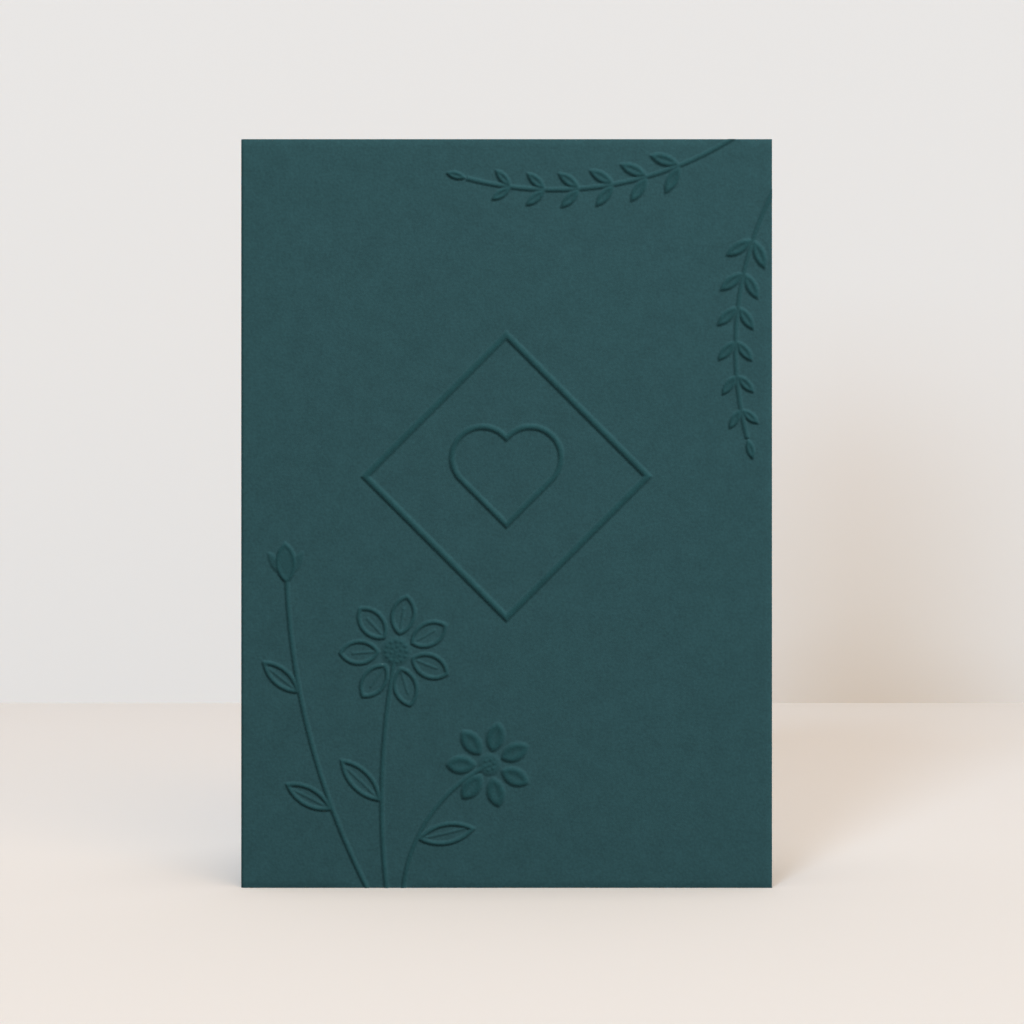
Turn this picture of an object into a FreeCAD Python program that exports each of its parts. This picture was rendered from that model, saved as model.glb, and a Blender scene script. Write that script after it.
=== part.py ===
import FreeCAD, Part
import math
import os

from FreeCAD import Vector

# A folded greeting card, blind embossed, standing open on its lower edges.
# Lengths are in millimetres and angles in degrees. +Z is up, the front leaf faces -Y and
# the fold is at -X. The origin is the middle of the footprint, on the surface it stands on.

# The sheet
card_width = 105.0
card_height = 148.0
board = 0.4
fold_inner_radius = 0.3
opening = 40.0

# The embossing: how far it is raised, how far its sloping side runs in over that rise, and
# how deep each raised form is rooted in the board, so that the two join cleanly
relief = 0.35
slope_run = 0.3
root = 0.08

# Widths of the raised lines at the face of the card
frame_line = 1.5
heart_line = 1.3
stem_line = 1.0
leaf_line = 0.9
petal_line = 0.9

# The diamond frame, whose centre is above the card's, and the heart in it, whose square is
# set below that centre so that the heart stands in the middle
frame_half_diagonal = 29.0
frame_rise = 7.3
heart_side = 13.4
heart_drop = 1.0

# How far beyond the card's edge the stems start
bleed = 2.0

# The leafy branches that hang from the top right corner: their leaves stand in pairs and
# get smaller towards the tip
leaf_length = 7.4
leaf_width = 3.0
leaf_spread = 40.0
leaf_pitch = 6.8
tip_share = 0.6

# The two daisies at the foot: the share of their round that the petals fill, and of their
# radius that the button takes
petal_count = 7
petal_fullness = 0.8
button_share = 0.27
large_daisy_radius = 11.5
small_daisy_radius = 8.8

# The bud beside them, and the two sepals that hold it
bud_length = 8.5
bud_width = 4.4
bud_seat = 1.2
sepal_length = 6.6
sepal_width = 2.4
sepal_spread = 34.0

OUT = Vector(0, -1, 0)


def on_face(u, v):
    """Point of the front face: u from its left edge, v up from its foot."""
    return Vector(u - card_width / 2, 0, v)


def below_top_right(left, down):
    """Point of the front face measured from its top right corner."""
    return on_face(card_width - left, card_height - down)


def along(heading):
    """Unit vector in the face, turned from the reader's right towards the top."""
    angle = math.radians(heading)
    return Vector(math.cos(angle), 0, math.sin(angle))


def inset_at(level):
    """How far a raised form has drawn in at a level above the face."""
    return slope_run * level / relief


# Outlines: each is a function that gives its wire at a level, drawn in by an inset


def leaf_outline(base, heading, length, width):
    """Outline of two equal arcs that meet at the leaf's base and tip."""
    bulge = width / 2
    radius = (length**2 / 4 + bulge**2) / (2 * bulge)
    middle = base + along(heading) * (length / 2)

    def wire(inset, level):
        centre = middle + OUT * level
        half_length = math.sqrt((radius - inset) ** 2 - (radius - bulge) ** 2)
        reach = along(heading) * half_length
        side = along(heading + 90) * (bulge - inset)
        arcs = [
            Part.Arc(centre - reach, centre + side, centre + reach).toShape(),
            Part.Arc(centre + reach, centre - side, centre - reach).toShape(),
        ]
        return Part.Wire(arcs)

    return wire


def diamond_outline(centre, half_diagonal):
    """Outline of a square that stands on one corner."""

    def wire(inset, level):
        reach = half_diagonal - inset * math.sqrt(2)
        corners = [centre + OUT * level + along(turn) * reach for turn in (0, 90, 180, 270)]
        return Part.makePolygon(corners + corners[:1])

    return wire


def heart_outline(centre, side):
    """Outline of a heart: a square on its corner with a half circle on each upper side."""
    lobe = side / (2 * math.sqrt(2))

    def wire(inset, level):
        radius = side / 2 - inset
        middle = centre + OUT * level
        tip = middle - along(90) * (side / math.sqrt(2) - inset * math.sqrt(2))
        cleft = middle + along(90) * (lobe + math.sqrt(radius**2 - lobe**2))
        edges = []
        for heading in (45, 135):
            eye = middle + along(heading) * (side / 2)
            outward = heading - 90 if heading < 90 else heading + 90
            shoulder = eye + along(outward) * radius
            crown = eye + along(heading) * radius
            edges.append(Part.makeLine(tip, shoulder))
            edges.append(Part.Arc(shoulder, crown, cleft).toShape())
        return Part.Wire(Part.__sortEdges__(edges))

    return wire


# Raised forms


def raised_shape(outline):
    """Raised form whose whole outline is filled."""
    levels = (-root, relief)
    return Part.makeLoft([outline(inset_at(level), level) for level in levels], True, True)


def raised_outline(outline, width):
    """Raised line that follows an outline on its inner side."""
    levels = (-2 * root, relief + root)
    wires = [outline(width - inset_at(level), level) for level in levels]
    return raised_shape(outline).cut(Part.makeLoft(wires, True, True))


def raised_disc(centre, radius):
    """Raised round form."""
    low = radius - inset_at(-root)
    high = radius - inset_at(relief)
    return Part.makeCone(low, high, root + relief, centre - OUT * root, OUT)


def line_section(point, heading, width):
    """Section of a raised line that runs along the heading."""
    across = along(heading + 90)
    corners = []
    for side, level in ((-1, -root), (1, -root), (1, relief), (-1, relief)):
        half = width / 2 - inset_at(level)
        corners.append(point + across * (side * half) + OUT * level)
    return Part.Face(Part.makePolygon(corners + corners[:1]))


class Stem:
    """Raised line of one arc, along which leaves and flowers are set."""

    def __init__(self, start, heading, length, turn):
        self.heading = heading
        self.length = length
        self.turn = turn
        self.side = math.copysign(90, turn)
        self.radius = length / math.radians(abs(turn))
        self.centre = start + along(heading + self.side) * self.radius

    def at(self, distance):
        """Point and heading at a distance along the stem."""
        heading = self.heading + self.turn * distance / self.length
        return self.centre - along(heading + self.side) * self.radius, heading

    def tip(self):
        """Point and heading at its far end."""
        return self.at(self.length)

    def line(self):
        """The raised line itself."""
        foot, heading = self.at(0)
        return line_section(foot, heading, stem_line).revolve(self.centre, OUT, self.turn)


def leafy_branch(stem, first, pairs):
    """Stem with opposite pairs of leaves, the first at a distance, and a leaf at its tip."""
    forms = [stem.line()]
    for number in range(pairs):
        distance = first + number * leaf_pitch
        point, heading = stem.at(distance)
        share = 1 - (1 - tip_share) * distance / stem.length
        for turn in (-leaf_spread, leaf_spread):
            leaf = leaf_outline(point, heading + turn, leaf_length * share, leaf_width * share)
            forms.append(raised_shape(leaf))
    point, heading = stem.tip()
    last = leaf_outline(point, heading, leaf_length * tip_share, leaf_width * tip_share)
    return forms + [raised_shape(last)]


def daisy(stem, radius, petal_form):
    """Button with a ring of petals at a stem's tip, which comes in between two of them."""
    centre, heading = stem.tip()
    button = radius * button_share
    length = radius - button
    room = 2 * math.pi * (button + length / 2) / petal_count
    forms = [stem.line(), raised_disc(centre, button)]
    for number in range(petal_count):
        way = heading + 180 + 360 * (number + 0.5) / petal_count
        foot = centre + along(way) * button
        forms.append(petal_form(leaf_outline(foot, way, length, room * petal_fullness)))
    return forms


def petal_outline(outline):
    """Petal that is only a raised outline."""
    return raised_outline(outline, petal_line)


def stem_leaf(stem, distance, turn, length, width):
    """Outlined leaf set on a stem at a distance and turned from it."""
    foot, heading = stem.at(distance)
    return raised_outline(leaf_outline(foot, heading + turn, length, width), leaf_line)


def bud(stem):
    """Closed flower seated on a stem's tip, with a sepal on each side."""
    foot, heading = stem.at(stem.length - bud_seat)
    forms = [stem.line(), raised_shape(leaf_outline(foot, heading, bud_length, bud_width))]
    point, heading = stem.tip()
    for turn in (-sepal_spread, sepal_spread):
        sepal = leaf_outline(point, heading + turn, sepal_length, sepal_width)
        forms.append(raised_shape(sepal))
    return forms


def centre_ornament():
    """Diamond frame with a heart in it."""
    centre = on_face(card_width / 2, card_height / 2 + frame_rise)
    square = centre - along(90) * heart_drop
    return [
        raised_outline(diamond_outline(centre, frame_half_diagonal), frame_line),
        raised_outline(heart_outline(square, heart_side), heart_line),
    ]


def hanging_branches():
    """Two leafy branches that fan out from the top right corner."""
    upper = Stem(below_top_right(left=5, down=-bleed), heading=215, length=58, turn=-50)
    lower = Stem(below_top_right(left=-bleed, down=7), heading=240, length=54, turn=45)
    return leafy_branch(upper, first=15, pairs=6) + leafy_branch(lower, first=14, pairs=6)


def daisy_bunch():
    """Two daisies, a bud and outlined leaves that rise from the foot, to the left."""
    slender = Stem(on_face(u=26, v=-bleed), heading=118, length=66, turn=-26)
    tall = Stem(on_face(u=29, v=-bleed), heading=97, length=49, turn=-18)
    short = Stem(on_face(u=32, v=-bleed), heading=88, length=33, turn=-62)
    forms = daisy(tall, large_daisy_radius, petal_outline)
    forms += daisy(short, small_daisy_radius, raised_shape)
    forms += bud(slender)
    return forms + [
        stem_leaf(slender, distance=19, turn=40, length=11, width=4.2),
        stem_leaf(slender, distance=43, turn=38, length=10, width=4.0),
        stem_leaf(tall, distance=19, turn=44, length=12, width=4.6),
        stem_leaf(short, distance=12, turn=-55, length=12, width=4.6),
    ]


def folded_sheet():
    """Sheet folded once: its section seen from above, drawn up to the card's height."""
    outer = fold_inner_radius + board
    turn = math.radians(opening)
    axis = Vector(outer - card_width / 2, outer, 0)
    sideways = Vector(-1, 0, 0)
    rearward = Vector(-math.sin(turn), math.cos(turn), 0)
    flat = card_width - outer
    front_run = Vector(1, 0, 0) * flat
    rear_run = Vector(math.cos(turn), math.sin(turn), 0) * flat

    def bend(radius):
        """Ends and middle of the fold at a radius."""
        return [axis + way * radius for way in (OUT, sideways, rearward)]

    outer_front, outer_middle, outer_rear = bend(outer)
    inner_front, inner_middle, inner_rear = bend(fold_inner_radius)
    edges = [
        Part.makeLine(outer_front + front_run, outer_front),
        Part.Arc(outer_front, outer_middle, outer_rear).toShape(),
        Part.makeLine(outer_rear, outer_rear + rear_run),
        Part.makeLine(outer_rear + rear_run, inner_rear + rear_run),
        Part.makeLine(inner_rear + rear_run, inner_rear),
        Part.Arc(inner_rear, inner_middle, inner_front).toShape(),
        Part.makeLine(inner_front, inner_front + front_run),
        Part.makeLine(inner_front + front_run, outer_front + front_run),
    ]
    section = Part.Face(Part.Wire(edges))
    depth = (outer_rear + rear_run).y
    return section.extrude(Vector(0, 0, card_height)), depth


def embossed_card():
    """Card with the forms raised on its front and pressed as deep into its inside."""
    sheet, depth = folded_sheet()
    forms = centre_ornament() + hanging_branches() + daisy_bunch()
    reach = 2 * relief
    face = Part.makeBox(card_width, 2 * reach, card_height, on_face(0, 0) + OUT * reach)
    raised = forms[0].multiFuse(forms[1:]).common(face)
    pressed = raised.translated(Vector(0, board, 0))
    card = sheet.fuse(raised).cut(pressed).removeSplitter()
    card.translate(Vector(0, (relief - depth) / 2, 0))
    return card


card = embossed_card()
os.makedirs("parts", exist_ok=True)
card.exportStep("parts/card.step")
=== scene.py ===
import logging
import math
from collections.abc import Callable, Iterator
from contextlib import contextmanager
from dataclasses import dataclass, field
from enum import Enum

import bpy
import numpy as np
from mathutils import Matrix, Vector
from mathutils.bvhtree import BVHTree


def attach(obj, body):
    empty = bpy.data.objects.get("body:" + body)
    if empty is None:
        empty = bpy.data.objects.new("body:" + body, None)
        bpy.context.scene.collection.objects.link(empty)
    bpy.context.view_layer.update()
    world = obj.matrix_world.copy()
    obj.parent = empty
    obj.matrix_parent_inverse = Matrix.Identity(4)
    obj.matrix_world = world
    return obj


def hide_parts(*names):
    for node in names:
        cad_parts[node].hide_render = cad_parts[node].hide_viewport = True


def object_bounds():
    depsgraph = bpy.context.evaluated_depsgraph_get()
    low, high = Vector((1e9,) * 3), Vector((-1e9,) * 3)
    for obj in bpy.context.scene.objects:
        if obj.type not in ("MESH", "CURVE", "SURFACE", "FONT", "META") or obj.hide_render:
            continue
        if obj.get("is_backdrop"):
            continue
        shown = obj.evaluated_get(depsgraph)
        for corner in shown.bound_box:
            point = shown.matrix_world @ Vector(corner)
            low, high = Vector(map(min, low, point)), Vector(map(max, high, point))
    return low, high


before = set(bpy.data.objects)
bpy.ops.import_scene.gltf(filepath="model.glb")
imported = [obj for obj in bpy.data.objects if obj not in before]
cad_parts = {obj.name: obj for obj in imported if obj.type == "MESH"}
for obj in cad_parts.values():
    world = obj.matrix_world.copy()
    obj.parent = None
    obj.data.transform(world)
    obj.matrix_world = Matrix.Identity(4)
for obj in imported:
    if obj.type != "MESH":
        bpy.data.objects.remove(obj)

# A folded greeting card of uncoated board, blind embossed: raised on its front, and pressed
# as deep into its inside. A sheet is laid out, pressed over an embossing die and folded.
# Lengths are in metres, headings in degrees from the reader's right towards the top.

log = logging.getLogger("card")

MM = 0.001
OUT = Vector((0.0, -1.0, 0.0))
UP = Vector((0.0, 0.0, 1.0))
UPRIGHT = (math.pi / 2, 0, 0)  # Turns what lies on the table to stand and face the reader
WELD = 1e-6  # Points nearer than this are one
FACES = 0.9  # Share of a normal along a direction, from which a face is said to face it

Piece = bpy.types.Object
Colour = tuple[int, int, int]  # Up to 255 each


def along(heading: float) -> Vector:
    """Gives the unit vector in the face that points along a heading."""
    angle = math.radians(heading)
    return Vector((math.cos(angle), 0.0, math.sin(angle)))


# Work at the bench: what is selected, and the operators that shape it


def only(piece: Piece) -> None:
    """Makes a piece the only one selected, and the active one."""
    bpy.ops.object.select_all(action="DESELECT")
    piece.select_set(True)
    bpy.context.view_layer.objects.active = piece


def added(operator: Callable[..., object], **settings: object) -> Piece:
    """Adds a primitive, a lamp or a camera with nothing else selected.

    Args:
        operator: What adds it.
        settings: What the operator is given.

    Returns:
        What was added.
    """
    bpy.ops.object.select_all(action="DESELECT")
    operator(**settings)
    return bpy.context.object


def settle(piece: Piece) -> Piece:
    """Puts the place, turn and size of the selected piece in its mesh, and gives the piece."""
    bpy.ops.object.transform_apply(location=True, rotation=True, scale=True)
    return piece


def modify(piece: Piece, kind: str, **settings: object) -> None:
    """Adds a modifier to a piece and applies it.

    Args:
        piece: The piece.
        kind: Type of the modifier.
        settings: Its settings.
    """
    only(piece)
    modifier = piece.modifiers.new(kind.lower(), kind)
    for name, value in settings.items():
        setattr(modifier, name, value)
    bpy.ops.object.modifier_apply(modifier=modifier.name)


@contextmanager
def editing(piece: Piece, mode: str, chosen: np.ndarray | None = None) -> Iterator[None]:
    """Opens a piece in edit mode, with all of it selected or the faces that are chosen.

    Args:
        piece: The piece to shape.
        mode: What is selected by, VERT, EDGE or FACE.
        chosen: One truth value for each face.
    """
    if chosen is not None:
        mesh = piece.data
        mesh.vertices.foreach_set("select", np.zeros(len(mesh.vertices), bool))
        mesh.edges.foreach_set("select", np.zeros(len(mesh.edges), bool))
        mesh.polygons.foreach_set("select", chosen)
    only(piece)
    bpy.ops.object.mode_set(mode="EDIT")
    bpy.ops.mesh.select_mode(type=mode)
    if chosen is None:
        bpy.ops.mesh.select_all(action="SELECT")
    try:
        yield
    finally:
        bpy.ops.object.mode_set(mode="OBJECT")


def read(items: bpy.types.bpy_prop_collection, name: str, kind: type = float) -> np.ndarray:
    """Reads what each part of a mesh holds.

    Args:
        items: The vertices, faces or corners of the mesh.
        name: Name of what they hold.
        kind: Kind of number: float for a vector, int for a whole number.

    Returns:
        The vectors, a row each, or the whole numbers.
    """
    values = np.empty((len(items), 3) if kind is float else len(items), kind)
    items.foreach_get(name, values.ravel())
    return values


def faces_of(piece: Piece) -> tuple[np.ndarray, np.ndarray]:
    """Gives the middles and the normals of a piece's faces, a row each."""
    return read(piece.data.polygons, "center"), read(piece.data.polygons, "normal")


def spin(turn: float, centre: Vector, axis: Vector, steps: int) -> None:
    """Spins what is selected, anticlockwise about an axis that points to the eye.

    Args:
        turn: Angle in degrees.
        centre: Point on the axis.
        axis: Direction of the axis; the operator itself turns the other way.
        steps: Number of steps.
    """
    bpy.ops.mesh.spin(steps=steps, angle=math.radians(turn), center=centre, axis=-axis)


def draw_out(way: Vector) -> None:
    """Extrudes what is selected along a vector."""
    bpy.ops.mesh.extrude_region_move(TRANSFORM_OT_translate={"value": way})


def join(pieces: list[Piece], name: str) -> Piece:
    """Joins pieces into the first of them.

    Args:
        pieces: The pieces.
        name: Name of the piece that they become.

    Returns:
        That piece.
    """
    only(pieces[0])
    for piece in pieces[1:]:
        piece.select_set(True)
    bpy.ops.object.join()
    pieces[0].name = name
    return pieces[0]


def plate(centre: Vector, radius: float, sides: int) -> Piece:
    """Gives an even-sided outline in the face, filled with one face that faces the reader."""
    shape = {"vertices": sides, "radius": radius, "fill_type": "NGON", "rotation": UPRIGHT}
    return settle(added(bpy.ops.mesh.primitive_circle_add, location=centre, **shape))


@dataclass(frozen=True)
class Spot:
    """Place of a copy on the face, where it points, and its size in the face as a share."""

    point: Vector
    heading: float = 0.0
    share: float = 1.0


def set_out(master: Piece, spots: list[Spot]) -> list[Piece]:
    """Copies a raised form to its spots on the face, each copy with its own mesh.

    Args:
        master: The form, at the origin, pointing to the reader's right; it is used up.
        spots: Where the copies go.

    Returns:
        The copies, all as high as the form was.
    """
    made = []
    for spot in spots:
        only(master)
        bpy.ops.object.duplicate()
        copy = bpy.context.object
        copy.location = spot.point
        copy.rotation_euler.y = -math.radians(spot.heading)
        copy.scale = (spot.share, 1.0, spot.share)
        made.append(settle(copy))
    bpy.data.objects.remove(master)
    return made


class Pen:
    """Draws an outline in the face, as a point that is drawn out in lines and arcs."""

    def __init__(self, start: Vector) -> None:
        """Sets the pen down.

        Args:
            start: The point where it draws from.
        """
        self.piece = settle(added(bpy.ops.mesh.primitive_plane_add, size=MM, location=start))
        bpy.ops.object.mode_set(mode="EDIT")
        bpy.ops.mesh.select_mode(type="VERT")
        bpy.ops.mesh.select_all(action="SELECT")
        bpy.ops.mesh.merge(type="CENTER")

    def line(self, way: Vector) -> None:
        """Draws a straight line."""
        bpy.ops.mesh.extrude_vertices_move(TRANSFORM_OT_translate={"value": way})

    def arc(self, centre: Vector, turn: float, steps: int, axis: Vector = OUT) -> None:
        """Draws an arc, its turn in degrees and anticlockwise as the reader sees it."""
        spin(turn, centre, axis, steps)

    def lift(self) -> Piece:
        """Gives the line as it is."""
        bpy.ops.object.mode_set(mode="OBJECT")
        return self.piece

    def fill(self) -> Piece:
        """Closes the outline and fills it.

        Returns:
            The outline with one face in it, which faces the reader.
        """
        bpy.ops.mesh.select_all(action="SELECT")
        bpy.ops.mesh.remove_doubles(threshold=WELD)
        bpy.ops.mesh.select_all(action="SELECT")
        bpy.ops.mesh.edge_face_add()
        bpy.ops.object.mode_set(mode="OBJECT")
        if self.piece.data.polygons[0].normal.dot(OUT) < 0:
            with editing(self.piece, "FACE"):
                bpy.ops.mesh.flip_normals()
        return self.piece


# Sections of what is raised, as steps inwards from an outline: a run, and a rise over it

Step = tuple[float, float]


@dataclass(frozen=True)
class Ridge:
    """Raised line whose section is the cap of a circle."""

    width: float
    rise: float
    steps: int = 8

    @property
    def radius(self) -> float:
        """Radius of the circle that its section is the cap of."""
        return (self.width**2 / 4 + self.rise**2) / (2 * self.rise)

    @property
    def lean(self) -> float:
        """Angle in degrees at which its sides leave the face."""
        return math.degrees(math.asin(self.width / 2 / self.radius))

    def section(self) -> list[Step]:
        """Gives its section.

        Returns:
            The steps from one side to the other.
        """
        angles = [math.radians(self.lean) * (2 * n / self.steps - 1) for n in range(self.steps + 1)]
        points = [(self.radius * math.sin(a), self.radius * math.cos(a)) for a in angles]
        return [(b[0] - a[0], b[1] - a[1]) for a, b in zip(points, points[1:])]


STEM_LINE = Ridge(1.05 * MM, 0.29 * MM)
BRANCH_LINE = Ridge(1.05 * MM, 0.27 * MM)
LEAF_LINE = Ridge(0.95 * MM, 0.3 * MM)
VEIN_LINE = Ridge(0.6 * MM, 0.14 * MM, steps=6)


@dataclass(frozen=True)
class Dome:
    """Filled form that swells from its outline, and may sink again to a vein along its middle.

    The swell ends at its shoulder and the vein starts at its edge, both as shares of the half
    width.
    """

    rise: float
    shoulder: float
    vein_depth: float = 0.0
    vein_edge: float = 0.94
    steps: int = 6

    def section(self, half_width: float) -> list[Step]:
        """Gives its section: a quarter wave up to the crown, and half a wave down to the vein.

        Args:
            half_width: Half the width of the form.

        Returns:
            The steps from its outline inwards.
        """
        turns = [math.pi / 2 / self.steps * n for n in range(self.steps + 1)]
        waves = [(self.shoulder, [self.rise * math.sin(t) for t in turns])]
        if self.vein_depth:
            fall = [self.vein_depth * (math.cos(2 * t) - 1) / 2 for t in turns]
            waves.append((self.vein_edge - self.shoulder, fall))
        return [
            (half_width * share / self.steps, b - a)
            for share, levels in waves
            for a, b in zip(levels, levels[1:])
        ]


class Middle(Enum):
    """What becomes of the face that is left inside a section."""

    KEPT = "kept"
    OPEN = "open"


def raise_form(form: Piece, section: list[Step], middle: Middle = Middle.KEPT) -> Piece:
    """Raises a filled outline along a section.

    Args:
        form: The outline, filled with one face.
        section: Steps inwards from the outline.
        middle: Whether the face that is left inside stays.

    Returns:
        The raised form.
    """
    with editing(form, "FACE"):
        for run, rise in section:
            bpy.ops.mesh.inset(thickness=run, depth=rise, use_even_offset=True)
        if middle is Middle.OPEN:
            bpy.ops.mesh.delete(type="FACE")
    return form


@dataclass(frozen=True)
class Lens:
    """Outline of two equal arcs that meet at a leaf's base and tip."""

    length: float
    width: float
    steps: int = 20

    @property
    def radius(self) -> float:
        """Radius of its arcs."""
        return (self.length**2 + self.width**2) / (4 * self.width)

    def filled(self) -> Piece:
        """Draws it and fills it.

        Returns:
            The filled outline, its base at the origin and its tip to the reader's right.
        """
        turn = 2 * math.degrees(math.asin(self.length / 2 / self.radius))
        middle = along(0) * (self.length / 2)
        pen = Pen(Vector())
        for side in (1, -1):
            pen.arc(middle + UP * (side * (self.radius - self.width / 2)), turn, self.steps)
        return pen.fill()

    def halves(self, inset: float) -> tuple[float, float]:
        """Gives half its length and half its width when its arcs are drawn in by an inset."""
        depth = self.radius - self.width / 2
        return math.sqrt((self.radius - inset) ** 2 - depth**2), self.width / 2 - inset

    def raised(self, section: list[Step], middle: Middle = Middle.KEPT) -> Piece:
        """Raises it along a section, each step extruded and drawn in to both tips.

        Args:
            section: Steps inwards from the outline.
            middle: Whether the face that is left inside stays.

        Returns:
            The raised form.
        """
        piece = self.filled()
        centre = along(0) * (self.length / 2)
        inset = 0.0
        with editing(piece, "FACE"):
            for run, rise in section:
                before, after = self.halves(inset), self.halves(inset + run)
                inset += run
                draw_out(OUT * rise)
                size = (after[0] / before[0], 1, after[1] / before[1])
                bpy.ops.transform.resize(value=size, center_override=centre)
            if middle is Middle.OPEN:
                bpy.ops.mesh.delete(type="FACE")
        return piece

    def outlined(self) -> Piece:
        """Raises a line along its outline."""
        return self.raised(LEAF_LINE.section(), Middle.OPEN)

    def domed(self, dome: Dome) -> Piece:
        """Raises it as a dome."""
        return self.raised(dome.section(self.width / 2))


@dataclass(frozen=True)
class Stem:
    """Raised line of one arc, along which leaves and flowers are set."""

    start: Vector
    heading: float
    length: float
    turn: float

    @property
    def side(self) -> float:
        """Angle from its heading to the side that it bends to."""
        return math.copysign(90, self.turn)

    @property
    def radius(self) -> float:
        """Radius of its arc."""
        return self.length / math.radians(abs(self.turn))

    @property
    def centre(self) -> Vector:
        """Centre of its arc."""
        return self.start + along(self.heading + self.side) * self.radius

    def at(self, distance: float) -> tuple[Vector, float]:
        """Gives its point and its heading at a distance from its start."""
        heading = self.heading + self.turn * distance / self.length
        return self.centre - along(heading + self.side) * self.radius, heading

    def tip(self) -> tuple[Vector, float]:
        """Gives the point and the heading at its far end."""
        return self.at(self.length)

    def raised(self, ridge: Ridge) -> Piece:
        """Draws it: the cap of the ridge's section, spun about the arc's centre.

        Args:
            ridge: The raised line that it is.

        Returns:
            The raised line.
        """
        pen = Pen(self.start + along(self.heading + 90) * (ridge.width / 2))
        cap = self.start - OUT * (ridge.radius - ridge.rise)
        pen.arc(cap, 2 * ridge.lean, ridge.steps, along(self.heading))
        piece = pen.lift()
        with editing(piece, "EDGE"):
            spin(self.turn, self.centre, OUT, round(self.length / MM))
        return piece


@dataclass(frozen=True)
class Vein:
    """Fine line along the middle of a leaf or a petal, a little bent.

    Its start and its length are shares of the leaf's length, its bend is in degrees.
    """

    start: float
    length: float
    bend: float

    def raised(self, base: Vector, heading: float, leaf_length: float) -> Piece:
        """Draws it on a leaf of a given base, heading and length."""
        start = base + along(heading) * (self.start * leaf_length)
        return Stem(start, heading, self.length * leaf_length, self.bend).raised(VEIN_LINE)


@dataclass(frozen=True)
class Blank:
    """The plain folded sheet: its place and its sizes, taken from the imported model's box."""

    low: Vector
    high: Vector
    relief: float = 0.35 * MM
    board: float = 0.4 * MM
    fold_radius: float = 0.3 * MM
    opening: float = 40.0

    @property
    def middle(self) -> Vector:
        """Middle of the box."""
        return (self.low + self.high) / 2

    @property
    def face(self) -> float:
        """Level of the front face, as y."""
        return self.low.y + self.relief

    @property
    def width(self) -> float:
        """Width of the front leaf, with the fold."""
        return self.high.x - self.low.x

    @property
    def height(self) -> float:
        """Height of both leaves."""
        return self.high.z - self.low.z

    @property
    def outer_radius(self) -> float:
        """Radius of the fold's outside."""
        return self.fold_radius + self.board

    @property
    def flat(self) -> float:
        """Width of a leaf without the fold."""
        return self.width - self.outer_radius

    @property
    def crease(self) -> Vector:
        """Foot of the axis that the board turns round at the fold."""
        return self.at(self.outer_radius, 0) - OUT * self.outer_radius

    @property
    def rearward(self) -> Vector:
        """Unit vector from the fold along the rear leaf."""
        opening = math.radians(self.opening)
        return Vector((math.cos(opening), math.sin(opening), 0.0))

    @property
    def rear_end(self) -> Vector:
        """Foot of the rear leaf's free end, on the line of the fold's axis."""
        return self.crease + self.rearward * self.flat

    def at(self, u: float, v: float) -> Vector:
        """Gives the point of the face u from its left edge and v up from its foot."""
        return Vector((self.low.x + u, self.face, self.low.z + v))


# The embossing die


@dataclass(frozen=True)
class CentreOrnament:
    """Diamond frame with a heart in it."""

    half_diagonal: float = 29.0 * MM
    rise_above_middle: float = 7.3 * MM
    frame_line: Ridge = Ridge(1.5 * MM, 0.345 * MM)
    heart_side: float = 13.4 * MM
    heart_drop: float = 1.0 * MM
    heart_line: Ridge = Ridge(1.3 * MM, 0.33 * MM)
    lobe_steps: int = 40

    def diamond(self, centre: Vector) -> Piece:
        """Raises the frame: a square that stands on one corner."""
        square = plate(centre, self.half_diagonal, sides=4)
        return raise_form(square, self.frame_line.section(), Middle.OPEN)

    def heart(self, centre: Vector) -> Piece:
        """Raises the heart: a square on its corner, with a half circle on each upper side.

        Args:
            centre: Centre of the square.

        Returns:
            The raised form.
        """
        pen = Pen(centre - UP * (self.heart_side / math.sqrt(2)))
        pen.line(along(45) * self.heart_side)
        for heading in (45, 135):
            pen.arc(centre + along(heading) * (self.heart_side / 2), 180, self.lobe_steps)
        pen.line(along(-45) * self.heart_side)
        return raise_form(pen.fill(), self.heart_line.section(), Middle.OPEN)

    def forms(self, blank: Blank) -> list[Piece]:
        """Gives the frame and the heart."""
        centre = blank.at(blank.width / 2, blank.height / 2 + self.rise_above_middle)
        return [self.diamond(centre), self.heart(centre - UP * self.heart_drop)]


@dataclass(frozen=True)
class LeafyBranch:
    """Stem with opposite pairs of veined leaves, and one at its tip."""

    stem: Stem
    first: float
    pairs: int
    pitch: float = 6.8 * MM
    spread: float = 40.0
    tip_share: float = 0.6
    leaf: Lens = Lens(7.4 * MM, 3.0 * MM)
    leaf_dome: Dome = Dome(0.34 * MM, shoulder=0.5, vein_depth=0.14 * MM)

    def spots(self) -> list[Spot]:
        """Gives the places of its leaves, which get smaller towards its tip.

        Returns:
            Two for each pair, and the tip.
        """
        made = []
        for number in range(self.pairs):
            distance = self.first + number * self.pitch
            point, heading = self.stem.at(distance)
            share = 1 - (1 - self.tip_share) * distance / self.stem.length
            made += [Spot(point, heading + turn, share) for turn in (-self.spread, self.spread)]
        return [*made, Spot(*self.stem.tip(), self.tip_share)]

    def forms(self) -> list[Piece]:
        """Gives the stem and its leaves."""
        master = self.leaf.domed(self.leaf_dome)
        return [self.stem.raised(BRANCH_LINE), *set_out(master, self.spots())]


class Petals(Enum):
    """How a daisy's petals are raised."""

    OUTLINED = "outlined"
    FILLED = "filled"


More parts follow.
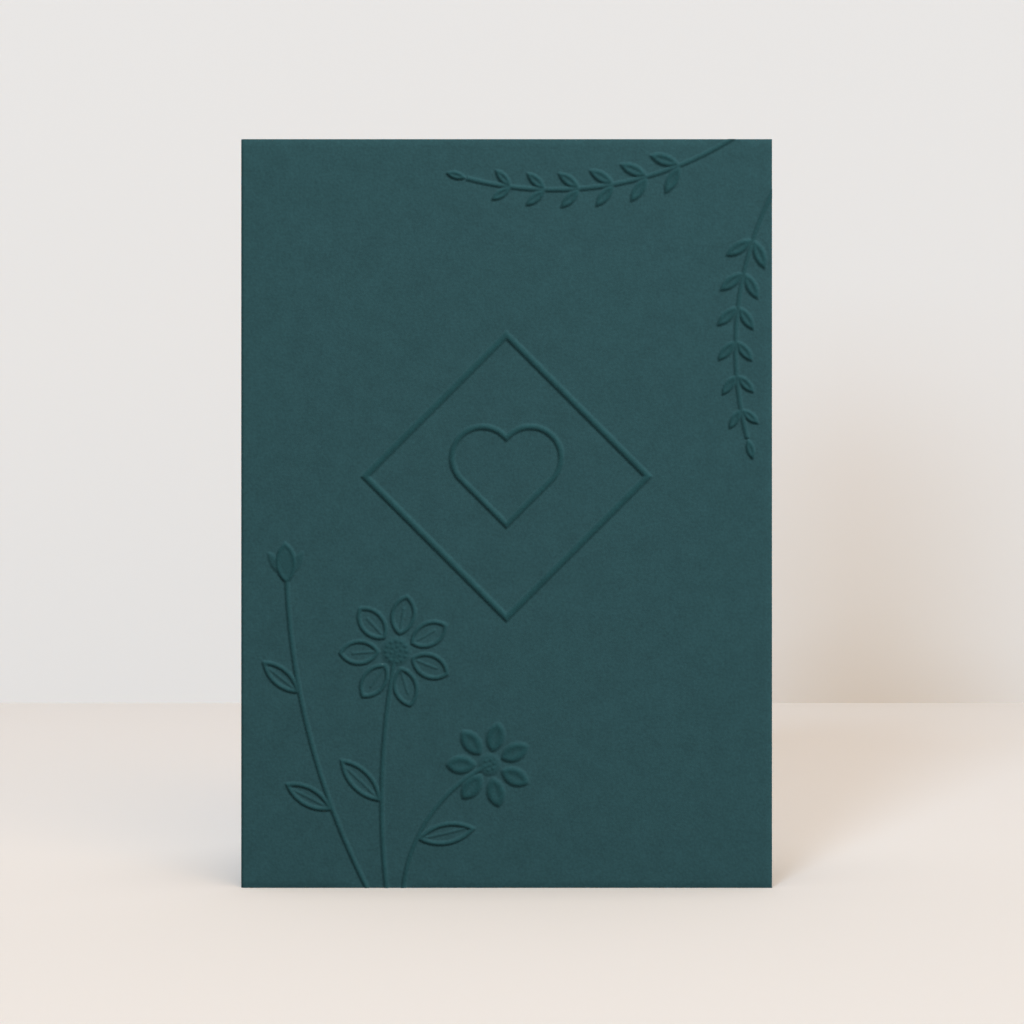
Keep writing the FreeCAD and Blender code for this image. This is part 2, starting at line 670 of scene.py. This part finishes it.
@dataclass(frozen=True)
class Daisy:
    """Button with a ring of petals at a stem's tip."""

    stem: Stem
    radius: float
    petals: Petals
    count: int = 7
    fullness: float = 0.8
    petal_dome: Dome = Dome(0.34 * MM, shoulder=0.42, vein_depth=0.14 * MM)
    vein: Vein = Vein(start=0.1, length=0.58, bend=4)
    button_share: float = 0.27
    button_dome: Dome = Dome(0.2 * MM, shoulder=0.4)
    button_sides: int = 48
    seed_radius: float = 0.36 * MM
    seed_flatness: float = 0.3
    seed_sides: int = 12
    seed_rings: int = 8
    seed_pitch: float = 1.02 * MM
    seed_turn: float = 15.0

    @property
    def button(self) -> float:
        """Radius of its button."""
        return self.radius * self.button_share

    def petal(self) -> list[Piece]:
        """Makes one petal, its base at the origin and its tip to the reader's right.

        Returns:
            The forms that it is made of.
        """
        length = self.radius - self.button
        width = self.fullness * math.tau * (self.button + length / 2) / self.count
        shape = Lens(length, width)
        if self.petals is Petals.FILLED:
            return [shape.domed(self.petal_dome)]
        return [shape.outlined(), self.vein.raised(Vector(), 0, length)]

    def low_button(self, centre: Vector) -> Piece:
        """Raises the button, a low dome."""
        disc = plate(centre, self.button, self.button_sides)
        return raise_form(disc, self.button_dome.section(self.button))

    def seeds(self, centre: Vector) -> list[Piece]:
        """Makes the seeds: one in the middle of the button and six more in each ring.

        Args:
            centre: Centre of the button.

        Returns:
            The seeds, from the middle outwards.
        """
        seed = added(
            bpy.ops.mesh.primitive_uv_sphere_add,
            segments=self.seed_sides, ring_count=self.seed_rings, radius=self.seed_radius,
        )
        seed.scale.y = self.seed_flatness
        top = centre + OUT * self.button_dome.rise
        spots = []
        for ring in range(int((self.button - self.seed_radius) / self.seed_pitch) + 1):
            number = max(1, 6 * ring)
            for turn in range(number):
                way = along(360 * turn / number + self.seed_turn * ring)
                spots.append(Spot(top + way * (ring * self.seed_pitch)))
        return set_out(settle(seed), spots)

    def forms(self) -> list[Piece]:
        """Makes the daisy.

        Returns:
            The stem, the button, its seeds and the petals.
        """
        centre, heading = self.stem.tip()
        made = [self.stem.raised(STEM_LINE), self.low_button(centre), *self.seeds(centre)]
        ways = [heading + 180 + 360 * (n + 0.5) / self.count for n in range(self.count)]
        for master in self.petal():
            made += set_out(master, [Spot(centre + along(w) * self.button, w) for w in ways])
        return made


@dataclass(frozen=True)
class OutlinedLeaf:
    """Leaf set on a stem: a raised outline with a vein along its middle."""

    stem: Stem
    distance: float
    turn: float
    length: float
    width: float
    vein: Vein = Vein(start=0.08, length=0.74, bend=5)

    def forms(self) -> list[Piece]:
        """Makes the leaf.

        Returns:
            The outline and the vein.
        """
        foot, heading = self.stem.at(self.distance)
        heading += self.turn
        outline = set_out(Lens(self.length, self.width).outlined(), [Spot(foot, heading)])
        return [*outline, self.vein.raised(foot, heading, self.length)]


@dataclass(frozen=True)
class Bud:
    """Closed flower seated on a stem's tip, with a sepal on each side that lies lower."""

    stem: Stem
    seat: float = 1.2 * MM
    petal: Lens = Lens(8.5 * MM, 4.4 * MM)
    petal_dome: Dome = Dome(0.345 * MM, shoulder=0.24, vein_depth=0.14 * MM, vein_edge=0.5)
    sepal: Lens = Lens(6.6 * MM, 2.4 * MM)
    sepal_dome: Dome = Dome(0.2 * MM, shoulder=0.5)
    sepal_spread: float = 34.0

    def forms(self) -> list[Piece]:
        """Makes the bud.

        Returns:
            The stem, the bud and its sepals.
        """
        petal = self.petal.domed(self.petal_dome)
        made = [self.stem.raised(STEM_LINE)]
        made += set_out(petal, [Spot(*self.stem.at(self.stem.length - self.seat))])
        point, heading = self.stem.tip()
        turns = (-self.sepal_spread, self.sepal_spread)
        sepal = self.sepal.domed(self.sepal_dome)
        return made + set_out(sepal, [Spot(point, heading + turn) for turn in turns])


@dataclass
class EmbossingDie:
    """The raised die that the sheet is pressed over."""

    blank: Blank
    bleed: float = 2.0 * MM
    margin: float = 20.0 * MM
    motifs: Piece | None = field(default=None, init=False)

    def below_top_right(self, left: float, down: float) -> Vector:
        """Gives the point of the face measured from its top right corner."""
        return self.blank.at(self.blank.width - left, self.blank.height - down)

    def branches(self) -> list[Piece]:
        """Makes two leafy branches that fan out from the top right corner.

        Returns:
            Their forms.
        """
        start = self.below_top_right(left=5 * MM, down=-self.bleed)
        upper = Stem(start, heading=215, length=58 * MM, turn=-50)
        start = self.below_top_right(left=-self.bleed, down=7 * MM)
        lower = Stem(start, heading=240, length=54 * MM, turn=45)
        return (
            LeafyBranch(upper, first=15 * MM, pairs=6).forms()
            + LeafyBranch(lower, first=14 * MM, pairs=6).forms()
        )

    def bunch(self) -> list[Piece]:
        """Makes two daisies, a bud and outlined leaves that rise from the foot, to the left.

        Returns:
            Their forms.
        """
        slender, tall, short = (
            Stem(self.blank.at(across * MM, -self.bleed), heading, length * MM, turn)
            for across, heading, length, turn in (
                (26, 118, 66, -26),
                (29, 97, 49, -18),
                (32, 88, 33, -62),
            )
        )
        made = Daisy(tall, radius=11.5 * MM, petals=Petals.OUTLINED).forms()
        made += Daisy(short, radius=8.8 * MM, petals=Petals.FILLED).forms()
        made += Bud(slender).forms()
        for stem, distance, turn, length, width in (
            (slender, 19, 40, 11, 4.2),
            (slender, 43, 38, 10, 4.0),
            (tall, 19, 44, 12, 4.6),
            (short, 12, -55, 12, 4.6),
        ):
            made += OutlinedLeaf(stem, distance * MM, turn, length * MM, width * MM).forms()
        return made

    def build(self) -> Piece:
        """Raises all the motifs.

        Returns:
            The motifs as one piece.
        """
        forms = CentreOrnament().forms(self.blank) + self.branches() + self.bunch()
        log.info("die: %d raised forms", len(forms))
        self.motifs = join(forms, "die_motifs")
        return self.motifs

    def seat(self) -> Piece:
        """Sets the motifs on a flat bed, larger than the card, at the level of its face.

        Returns:
            The die.
        """
        centre = self.blank.middle
        bed = added(
            bpy.ops.mesh.primitive_plane_add, size=self.blank.height + 2 * self.margin,
            location=(centre.x, self.blank.face, centre.z), rotation=UPRIGHT,
        )
        return join([settle(bed), self.motifs], "die")


# The sheet


@dataclass
class CardSheet:
    """The sheet of board: laid out, pressed over the die, folded and dressed."""

    blank: Blank
    cell: float = 1.6 * MM
    reaches: tuple[float, ...] = (1.5 * MM, 0.85 * MM, 0.45 * MM)
    back_reaches: tuple[float, ...] = (1.3 * MM, 0.75 * MM)
    lift: float = 1.0 * MM
    softening: float = 0.5
    fold_steps: int = 18
    edge_round: float = 0.05 * MM
    edge_steps: int = 2
    edge_angle: float = 60.0
    smooth_angle: float = 50.0
    end_facing: float = 0.7
    least_turn: float = 0.01
    piece: Piece | None = field(default=None, init=False)

    def lay(self) -> None:
        """Lays out the front leaf as a slab of board, from the fold to the open side."""
        width, height = self.blank.flat, self.blank.height
        self.piece = added(
            bpy.ops.mesh.primitive_grid_add,
            x_subdivisions=round(width / self.cell), y_subdivisions=round(height / self.cell),
            size=1.0, location=self.blank.at(self.blank.outer_radius + width / 2, height / 2),
            rotation=UPRIGHT,
        )
        self.piece.name = "embossed_card"
        self.piece.scale = (width, height, 1)
        settle(self.piece)
        with editing(self.piece, "FACE"):
            draw_out(-OUT * self.blank.board)
            bpy.ops.mesh.select_all(action="SELECT")
            bpy.ops.mesh.normals_make_consistent(inside=False)

    def refine(self, motifs: Piece) -> None:
        """Divides the board finely where the motifs are near, on its front and its inside.

        Args:
            motifs: The motifs, without their bed.
        """
        corners = [Vector(c) for c in read(motifs.data.vertices, "co")]
        near = BVHTree.FromPolygons(corners, [tuple(p.vertices) for p in motifs.data.polygons])
        for side, reaches in ((OUT, self.reaches), (-OUT, self.back_reaches)):
            for reach in reaches:
                middles, normals = faces_of(self.piece)
                facing = normals @ np.array(side) > FACES
                middles[:, 1] = self.blank.face
                close = [
                    bool(f) and near.find_nearest(m, reach)[0] is not None
                    for m, f in zip(middles, facing)
                ]
                with editing(self.piece, "FACE", np.array(close)):
                    bpy.ops.mesh.subdivide(number_cuts=1)

    def group_points(self) -> None:
        """Groups the points of the front, of the back, and all but those along the sides."""
        places = read(self.piece.data.vertices, "co")
        front = places[:, 1] < self.blank.face + self.blank.board / 2
        flat = places[:, [0, 2]]
        inner = ((flat > flat.min(axis=0) + WELD) & (flat < flat.max(axis=0) - WELD)).all(axis=1)
        for name, chosen in (("front", front), ("back", ~front), ("soft", inner)):
            group = self.piece.vertex_groups.new(name=name)
            group.add(np.flatnonzero(chosen).tolist(), 1.0, "REPLACE")

    def press(self, die: Piece) -> None:
        """Presses the board over the die: its front onto it, its inside a board's depth behind.

        Args:
            die: The motifs on their bed, which is moved back and left there.
        """
        with editing(self.piece, "VERT"):
            bpy.ops.transform.translate(value=OUT * self.lift)
        for name in ("front", "back"):
            modify(
                self.piece, "SHRINKWRAP", target=die, vertex_group=name, wrap_method="PROJECT",
                use_project_y=True, use_positive_direction=True, use_negative_direction=False,
            )
            only(die)
            bpy.ops.transform.translate(value=-OUT * self.blank.board)
            settle(die)
        modify(
            self.piece, "SMOOTH", vertex_group="soft", use_x=False, use_z=False,
            factor=self.softening, iterations=1,
        )

    def mark_relief(self) -> None:
        """Keeps how far each point is raised, from 0 to 1, for the finish to read."""
        mesh = self.piece.data
        back = self.piece.vertex_groups["back"].index
        behind = [any(g.group == back for g in v.groups) for v in mesh.vertices]
        level = self.blank.face + np.where(behind, self.blank.board, 0.0)
        height = (level - read(mesh.vertices, "co")[:, 1]) / self.blank.relief
        raised = mesh.attributes.new("raised", "FLOAT", "POINT")
        raised.data.foreach_set("value", np.clip(height, 0, 1))

    def fold(self) -> None:
        """Turns the board round the fold, and draws it out to the rear leaf."""
        axis = self.blank.crease
        middles, normals = faces_of(self.piece)
        fold_end = (normals[:, 0] < -FACES) & (middles[:, 0] < axis.x + WELD)
        with editing(self.piece, "FACE", fold_end):
            spin(180 - self.blank.opening, axis, -UP, self.fold_steps)
            draw_out(self.blank.rearward * self.blank.flat)

    def finish_edges(self) -> None:
        """Takes the sharpness off the cut edges."""
        self.piece.vertex_groups.clear()
        modify(
            self.piece, "BEVEL", width=self.edge_round, segments=self.edge_steps,
            limit_method="ANGLE", angle_limit=math.radians(self.edge_angle),
        )
        bpy.ops.object.shade_smooth_by_angle(angle=math.radians(self.smooth_angle))

    def cut_pinched(self) -> None:
        """Cuts four-sided faces that have a corner on a straight side into sound triangles."""
        mesh = self.piece.data
        sides = read(mesh.polygons, "loop_total", int)
        starts = read(mesh.polygons, "loop_start", int)
        order = read(mesh.loops, "vertex_index", int)
        four = np.flatnonzero(sides == 4)
        corners = read(mesh.vertices, "co")[order[starts[four, None] + np.arange(4)]]
        ahead = np.roll(corners, -1, axis=1) - corners
        behind = corners - np.roll(corners, 1, axis=1)
        lengths = np.linalg.norm(ahead, axis=2) * np.linalg.norm(behind, axis=2)
        turns = np.linalg.norm(np.cross(ahead, behind), axis=2) / lengths
        pinched = np.zeros(len(sides), bool)
        pinched[four] = (turns < self.least_turn).any(axis=1)
        with editing(self.piece, "FACE", pinched):
            bpy.ops.mesh.quads_convert_to_tris(quad_method="BEAUTY", ngon_method="BEAUTY")

    def build(self, die: EmbossingDie) -> Piece:
        """Makes the card in the maker's order.

        Args:
            die: The embossing die, which is used up.

        Returns:
            The folded card.
        """
        self.lay()
        self.refine(die.build())
        self.group_points()
        bed = die.seat()
        self.press(bed)
        self.mark_relief()
        bpy.data.objects.remove(bed)
        self.fold()
        self.finish_edges()
        self.cut_pinched()
        return self.piece

    def dress(self, face: "UncoatedBoard", cut: "CutEdge") -> None:
        """Gives the board its finish, and its cut edges theirs.

        Args:
            face: Finish of the leaves and the fold.
            cut: Finish of the cut edges.
        """
        self.piece.data.materials.clear()
        for finish in (face, cut):
            self.piece.data.materials.append(finish.material())
        middles, normals = faces_of(self.piece)
        outermost = middles > np.array(self.blank.high) - self.blank.board
        rearward = normals @ np.array(self.blank.rearward)
        ends = np.abs(normals[:, 2]) > self.end_facing
        ends |= (normals[:, 0] > self.end_facing) & outermost[:, 0]
        ends |= (rearward > self.end_facing) & outermost[:, 1]
        self.piece.data.polygons.foreach_set("material_index", ends.astype(np.int32))


# Finishes


class Value:
    """A number that varies over a surface: arithmetic on it adds Math nodes."""

    def __init__(self, graph: "Graph", socket: bpy.types.NodeSocket) -> None:
        """Wraps an output socket."""
        self.graph = graph
        self.socket = socket

    def _math(self, operation: str, *values: "Value | float") -> "Value":
        """Adds a Math node."""
        return self.graph.node("ShaderNodeMath", {"operation": operation}, dict(enumerate(values)))

    def __add__(self, other: "Value | float") -> "Value":
        """Adds."""
        return self._math("ADD", self, other)

    __radd__ = __add__

    def __sub__(self, other: "Value | float") -> "Value":
        """Subtracts."""
        return self._math("SUBTRACT", self, other)

    def __rsub__(self, other: float) -> "Value":
        """Subtracts from a number."""
        return self._math("SUBTRACT", other, self)

    def __mul__(self, other: "Value | float") -> "Value":
        """Multiplies."""
        return self._math("MULTIPLY", self, other)

    __rmul__ = __mul__

    def between(self, low: float, high: float) -> "Value":
        """Gives how far it has come from low to high, eased, from 0 to 1."""
        settings, span = {"interpolation_type": "SMOOTHSTEP"}, {"From Min": low, "From Max": high}
        return self.graph.node("ShaderNodeMapRange", settings, {"Value": self, **span})


class Graph:
    """The nodes of one material or world."""

    def __init__(self, block: bpy.types.Material | bpy.types.World) -> None:
        """Starts with none of its own nodes."""
        block.use_nodes = True
        self.tree = block.node_tree
        self.tree.nodes.clear()

    def node(
        self,
        kind: str,
        settings: dict[str, object] | None = None,
        inputs: "dict[str | int, Value | float | tuple] | None" = None,
        output: str | int = 0,
    ) -> Value:
        """Adds a node.

        Args:
            kind: Its type.
            settings: Its own settings, which are set first.
            inputs: What its sockets hold or are linked to, by identifier, name or number.
            output: The socket that is given back.

        Returns:
            That output.
        """
        made = self.tree.nodes.new(kind)
        for key, value in (settings or {}).items():
            setattr(made, key, value)
        for key, value in (inputs or {}).items():
            named = {s.identifier: s for s in made.inputs}
            socket = named[key] if key in named else made.inputs[key]
            if isinstance(value, Value):
                self.tree.links.new(value.socket, socket)
            else:
                socket.default_value = value
        outputs = {s.identifier: s for s in made.outputs}
        if not outputs:
            return Value(self, None)
        return Value(self, outputs[output] if output in outputs else made.outputs[output])

    def place(self) -> Value:
        """Gives the place on the piece, in metres."""
        return self.node("ShaderNodeTexCoord", output="Object")

    def run(self, way: Vector) -> Value:
        """Gives how far the place on the piece lies along a unit vector, in metres."""
        inputs = {0: self.place(), 1: way}
        return self.node("ShaderNodeVectorMath", {"operation": "DOT_PRODUCT"}, inputs, "Value")

    def noise(
        self, size: float, detail: float, stretch: tuple[float, float, float] = (1, 1, 1)
    ) -> Value:
        """Makes clouds.

        Args:
            size: Size of a cloud in metres.
            detail: How many finer layers it has.
            stretch: How much finer it is along each axis.

        Returns:
            A value about 0, most of it within a quarter of it.
        """
        stretched = {0: self.place(), 1: stretch}
        place = self.node("ShaderNodeVectorMath", {"operation": "MULTIPLY"}, stretched)
        inputs = {"Vector": place, "Scale": 1 / size, "Detail": detail}
        return self.node("ShaderNodeTexNoise", inputs=inputs) - 0.5

    def mix(self, first: tuple[float, ...], second: tuple[float, ...], share: Value) -> Value:
        """Gives a colour that goes from the first to the second as the share goes up to 1."""
        inputs = {"A_Color": (*first, 1), "B_Color": (*second, 1), "Factor_Float": share}
        return self.node("ShaderNodeMix", {"data_type": "RGBA"}, inputs, "Result_Color")

    def shade(self, colour: "Value | tuple[float, ...]", level: Value) -> Value:
        """Gives a colour made lighter or darker by a level about 1."""
        settings = {"operation": "SCALE"}
        return self.node("ShaderNodeVectorMath", settings, {0: colour, "Scale": level})

    def seen(self) -> Value:
        """Gives 1 for the rays of the camera and of gloss and glass, and 0 for the rest."""
        rays = ("Is Camera Ray", "Is Glossy Ray", "Is Transmission Ray")
        return sum((self.node("ShaderNodeLightPath", output=ray) for ray in rays), 0)

    def bump(self, height: Value, depth: float) -> Value:
        """Gives the normal over a height whose full range is a depth in metres."""
        return self.node("ShaderNodeBump", inputs={"Distance": depth, "Height": height})


def linear(colour: Colour) -> tuple[float, ...]:
    """Gives a colour as the renderer's linear shares."""
    shares = [c / 255 for c in colour]
    return tuple(s / 12.92 if s <= 0.04045 else ((s + 0.055) / 1.055) ** 2.4 for s in shares)


class Finish:
    """A named finish, whose surface is made of nodes."""

    name: str

    def surface(self, graph: Graph) -> Value:
        """Adds the nodes of its surface to a graph, and gives the shader."""
        raise NotImplementedError

    def material(self) -> bpy.types.Material:
        """Makes the material.

        Returns:
            The material, ready to be put on a piece.
        """
        made = bpy.data.materials.new(self.name)
        graph = Graph(made)
        graph.node("ShaderNodeOutputMaterial", inputs={"Surface": self.surface(graph)})
        return made


@dataclass(frozen=True)
class UncoatedBoard(Finish):
    """Through-dyed board with a felt tooth: matt, faintly clouded, a little rubbed at its rims.

    Its raised forms are darker: partly the pressed board's deeper dye, partly painted shade.
    """

    blank: Blank
    name: str = "teal_uncoated_board"
    colour: Colour = (42, 75, 80)
    # Colour of what is raised: partly the pressed board's deeper dye, partly painted shade along
    # the embossed lines and leaves
    pressed: Colour = (28, 66, 70)
    cloud_size: float = 3.2 * MM
    clouding: float = 0.24
    felt_size: float = 0.55 * MM
    felting: float = 0.48
    fibre_size: float = 0.5 * MM
    fibre_stretch: float = 0.4
    fibring: float = 0.12
    tooth: float = 0.03 * MM
    fibre_tooth: float = 0.4
    rubbed_tooth: float = 0.5
    roughness: float = 0.9
    felt_roughness: float = 0.1
    sheen_level: float = 0.12
    crown_polish: float = 0.08
    patch_size: float = 1.3 * MM
    patch_range: tuple[float, float] = (-0.12, 0.16)
    rim_reach: float = 0.5 * MM
    fold_reach: float = 0.9 * MM
    rubbing: float = 0.16

    def rubbed(self, graph: Graph) -> Value:
        """Gives how rubbed the board is: in patches, along its rims and its fold.

        Args:
            graph: Where the nodes go.

        Returns:
            A value from 0 to 1.
        """
        low, high, rearward = self.blank.low, self.blank.high, self.blank.rearward
        rims = (
            (UP, high.z, self.rim_reach),
            (-UP, -low.z, self.rim_reach),
            (along(0), high.x, self.rim_reach),
            (along(180), -low.x, self.fold_reach),
            (rearward, self.blank.rear_end.dot(rearward), self.rim_reach),
        )
        near = sum((graph.run(way).between(end - reach, end) for way, end, reach in rims), 0)
        return near * graph.noise(self.patch_size, 3).between(*self.patch_range)

    def surface(self, graph: Graph) -> Value:
        """Adds the nodes of its surface.

        Args:
            graph: Where they go.

        Returns:
            The shader.
        """
        clouds = graph.noise(self.cloud_size, 2)
        felt = graph.noise(self.felt_size, 3)
        fibres = graph.noise(self.fibre_size, 2, (self.fibre_stretch, 1.0, 1.0)) + graph.noise(
            self.fibre_size, 2, (1.0, 1.0, self.fibre_stretch)
        )
        raised = graph.node("ShaderNodeAttribute", {"attribute_name": "raised"}, output="Fac")
        rubbed = self.rubbed(graph)
        dye = 1 + clouds * self.clouding + felt * self.felting + fibres * self.fibring
        # Raised forms go over to the darker colour: partly deeper dye, partly painted shade on the
        # relief
        colour = graph.mix(linear(self.colour), linear(self.pressed), raised)
        height = felt + fibres * self.fibre_tooth + rubbed * self.rubbed_tooth
        polish = felt * self.felt_roughness - raised * self.crown_polish
        return graph.node(
            "ShaderNodeBsdfPrincipled",
            inputs={
                "Base Color": graph.shade(colour, dye + rubbed * self.rubbing),
                "Roughness": self.roughness + polish,
                "Specular IOR Level": self.sheen_level,
                "Normal": graph.bump(height, self.tooth),
            },
        )


@dataclass(frozen=True)
class CutEdge(Finish):
    """Cut edge of the board: its layered fibres show a little lighter and rougher."""

    name: str = "cut_board_edge"
    colour: Colour = (58, 88, 91)
    layer: float = 0.12 * MM
    layer_stretch: tuple[float, float, float] = (0.2, 1.0, 0.2)
    layering: float = 0.5
    layer_depth: float = 0.04 * MM
    nick: float = 1.4 * MM
    nicking: float = 0.2
    roughness: float = 0.95
    sheen_level: float = 0.25

    def surface(self, graph: Graph) -> Value:
        """Adds the nodes of its surface.

        Args:
            graph: Where they go.

        Returns:
            The shader.
        """
        layers = graph.noise(self.layer, 2, self.layer_stretch)
        level = 1 + layers * self.layering + graph.noise(self.nick, 2) * self.nicking
        return graph.node(
            "ShaderNodeBsdfPrincipled",
            inputs={
                "Base Color": graph.shade(linear(self.colour), level),
                "Roughness": self.roughness,
                "Specular IOR Level": self.sheen_level,
                "Normal": graph.bump(layers, self.layer_depth),
            },
        )


@dataclass(frozen=True)
class RoomPaint(Finish):
    """Matt paint that is clear from behind.

    It is seen, and shown by gloss and glass, in its colour; given is the share of light that it
    gives back to what stands by it.
    """

    name: str
    colour: Colour
    given: float

    def surface(self, graph: Graph) -> Value:
        """Adds the nodes of its surface.

        Args:
            graph: Where they go.

        Returns:
            The shader.
        """
        pale = graph.node("ShaderNodeBsdfDiffuse", inputs={"Color": (*linear(self.colour), 1)})
        dull = graph.node("ShaderNodeBsdfDiffuse", inputs={"Color": (*[self.given] * 3, 1)})
        matt = graph.node("ShaderNodeMixShader", inputs={0: graph.seen(), 1: dull, 2: pale})
        clear = graph.node("ShaderNodeBsdfTransparent")
        behind = graph.node("ShaderNodeNewGeometry", output="Backfacing")
        return graph.node("ShaderNodeMixShader", inputs={0: behind, 1: matt, 2: clear})


# The studio


class Lights(Enum):
    """What a lamp shines on: the card alone, or the room with the card's shadow in it."""

    CARD = "card"
    ROOM = "room"


@dataclass(frozen=True)
class Lamp:
    """Soft lamp that points at the card, near it or so far off that its light is even.

    Its bearing turns from straight in front to the reader's right, its spread is the angle
    that it is seen under from the card, and its level is what a white sheet square to it shows.
    """

    name: str
    lights: Lights
    bearing: float
    elevation: float
    spread: float
    level: float
    colour: tuple[float, float, float] = (1.0, 1.0, 1.0)
    distance: float | None = None

    @property
    def way(self) -> Vector:
        """Unit vector from the card to the lamp."""
        turn, rise = math.radians(self.bearing), math.radians(self.elevation)
        across = math.cos(rise)
        return Vector((math.sin(turn) * across, -math.cos(turn) * across, math.sin(rise)))

    def hang(self, target: Vector, lit: list[Piece]) -> None:
        """Hangs the lamp.

        Args:
            target: What it points at.
            lit: The pieces that it shines on.
        """
        lamp = added(
            bpy.ops.object.light_add,
            type="SUN" if self.distance is None else "AREA",
            location=target + self.way * (self.distance or 1.0),
            rotation=(-self.way).to_track_quat("-Z", "Y").to_euler(),
        )
        lamp.name = self.name
        lamp.visible_camera = False
        lamp.data.color = self.colour
        if self.distance is None:
            lamp.data.angle = math.radians(self.spread)
            lamp.data.energy = self.level * math.pi
        else:
            lamp.data.size = 2 * self.distance * math.tan(math.radians(self.spread / 2))
            lamp.data.energy = self.level * (math.pi * self.distance) ** 2
        reached = bpy.data.collections.new(f"lit_by_{self.name}")
        for piece in lit:
            reached.objects.link(piece)
        lamp.light_linking.receiver_collection = reached
        if self.lights is Lights.CARD:
            lamp.light_linking.blocker_collection = reached


# Each with its bearing, elevation, spread, level and colour
LAMPS = (
    Lamp("key", Lights.CARD, 32, 47, 22, 1.57, (1.0, 0.985, 0.965), distance=1.35),
    Lamp("rear", Lights.CARD, 243, 35, 30, 0.66),
    Lamp("side", Lights.CARD, 118, 35, 25, 0.6),
    Lamp("ceiling", Lights.ROOM, 0, 88, 40, 0.579, (1.11, 1.00, 0.89)),
    Lamp("window_low", Lights.ROOM, -16, 2, 12, 0.123, (0.59, 1.02, 1.40)),
    Lamp("window_middle", Lights.ROOM, -17, 9, 14, 0.144, (0.77, 0.97, 1.25)),
    Lamp("window_high", Lights.ROOM, -18.3, 20, 12, 0.349, (0.71, 1.01, 1.27)),
    Lamp("room", Lights.ROOM, 12, 30, 60, 0.325, (1.55, 0.98, 0.48)),
)


@dataclass
class Studio:
    """Table, wall, lamps and camera round the card."""

    blank: Blank
    card: Piece
    lens: float = 85.0
    sensor: float = 36.0
    span: float = 202.4 * MM
    aim_right: float = 1.1 * MM
    aim_up: float = 0.3 * MM
    wall_behind: float = 462.7 * MM
    room: float = 8.0
    even_light: float = 0.1
    table_paint: RoomPaint = RoomPaint("table_paint", (232, 234, 237), given=0.2)
    wall_paint: RoomPaint = RoomPaint("wall_paint", (231, 229, 226), given=0.4)
    stage: list[Piece] = field(default_factory=list, init=False)

    def backdrop(self) -> None:
        """Makes the table and the wall, which shows only from its front."""
        wall_level = self.blank.face + self.wall_behind
        for name, paint, place, turn in (
            ("table", self.table_paint, (0, 0, self.blank.low.z), (0, 0, 0)),
            ("wall", self.wall_paint, (0, wall_level, 0), UPRIGHT),
        ):
            piece = added(
                bpy.ops.mesh.primitive_plane_add, size=self.room, location=place, rotation=turn
            )
            piece.name = name
            piece.data.materials.append(paint.material())
            piece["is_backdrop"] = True
            self.stage.append(piece)

    def light(self) -> None:
        """Hangs the lamps and sets the even light of the room."""
        for lamp in LAMPS:
            lit = [self.card] if lamp.lights is Lights.CARD else self.stage
            lamp.hang(self.blank.middle, lit)
        world = bpy.data.worlds.new("room")
        bpy.context.scene.world = world
        graph = Graph(world)
        even = graph.node("ShaderNodeBackground", inputs={"Strength": self.even_light})
        shown = (*linear(self.wall_paint.colour), 1)
        pale = graph.node("ShaderNodeBackground", inputs={"Color": shown, "Strength": 1.0})
        light = graph.node("ShaderNodeMixShader", inputs={0: graph.seen(), 1: even, 2: pale})
        graph.node("ShaderNodeOutputWorld", inputs={"Surface": light})

    def camera(self) -> None:
        """Stands the camera square in front of the card, at the height of its middle."""
        centre = self.blank.at(self.blank.width / 2, self.blank.height / 2)
        distance = self.span * self.lens / self.sensor
        place = centre + OUT * distance + along(0) * self.aim_right + UP * self.aim_up
        camera = added(bpy.ops.object.camera_add, location=place, rotation=UPRIGHT)
        camera.data.lens = self.lens
        camera.data.sensor_width = self.sensor
        bpy.context.scene.camera = camera

    def build(self) -> None:
        """Builds the studio."""
        self.backdrop()
        self.light()
        self.camera()
        bpy.context.scene.view_settings.view_transform = "Standard"


def main() -> None:
    """Builds the card and the studio, and reports each piece."""
    logging.basicConfig(level=logging.INFO, format="%(name)s: %(message)s")
    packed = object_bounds()
    blank = Blank(*packed)
    sheet = CardSheet(blank)
    card = sheet.build(EmbossingDie(blank))
    sheet.dress(UncoatedBoard(blank), CutEdge())
    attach(card, "root")
    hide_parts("card")
    log.info("%s: %d faces", card.name, len(card.data.polygons))
    Studio(blank, card).build()


if __name__ == "__main__":
    main()
